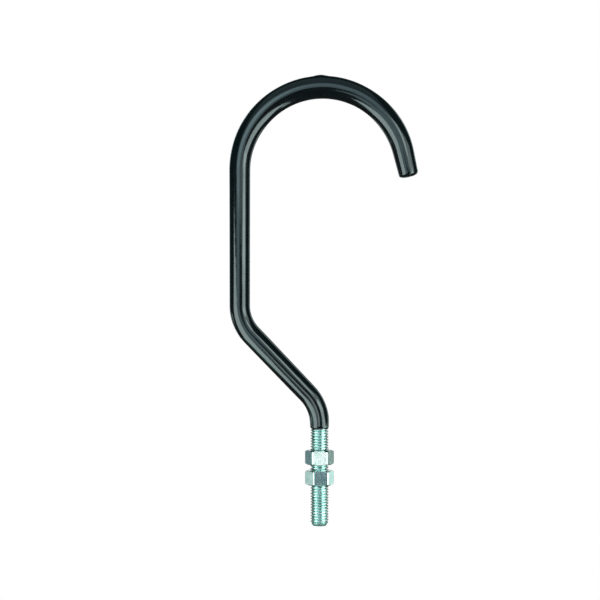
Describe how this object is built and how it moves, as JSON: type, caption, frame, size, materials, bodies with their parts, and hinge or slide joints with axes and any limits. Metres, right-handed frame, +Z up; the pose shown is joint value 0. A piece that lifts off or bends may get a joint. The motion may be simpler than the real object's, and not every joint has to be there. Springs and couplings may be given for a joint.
{
  "type": "bike hook",
  "caption": "Round bar bent to a large open hook with a glossy black dipped coat, on a bare threaded stud with hex nuts, for hanging a bicycle from a plate or beam.",
  "frame": {"origin": "on the stud's axis, at the upper nut's underside, where the plate that it is bolted to seats", "axes": "+Z up the stud towards the hook's crown, +X across the hook towards its open side, +Y square to the hook's plane"},
  "size_m": [0.103, 0.0146, 0.2453],
  "materials": {
    "zinc_plate": "bright zinc plate",
    "black_vinyl": "glossy dipped vinyl"
  },
  "bodies": {
    "hook": {"hook_rod": "zinc_plate", "vinyl_coat": "black_vinyl"},
    "upper_nut": {"upper_nut": "zinc_plate"},
    "lower_nut": {"lower_nut": "zinc_plate"}
  },
  "joints": [
    {"name": "upper_nut_travel", "type": "slide", "parent": "hook", "child": "upper_nut", "axis": [0, 0, 1], "range_m": [0, 0.0105]},
    {"name": "lower_nut_travel", "type": "slide", "parent": "hook", "child": "lower_nut", "axis": [0, 0, 1], "range_m": [-0.0315, 0.003]}
  ]
}
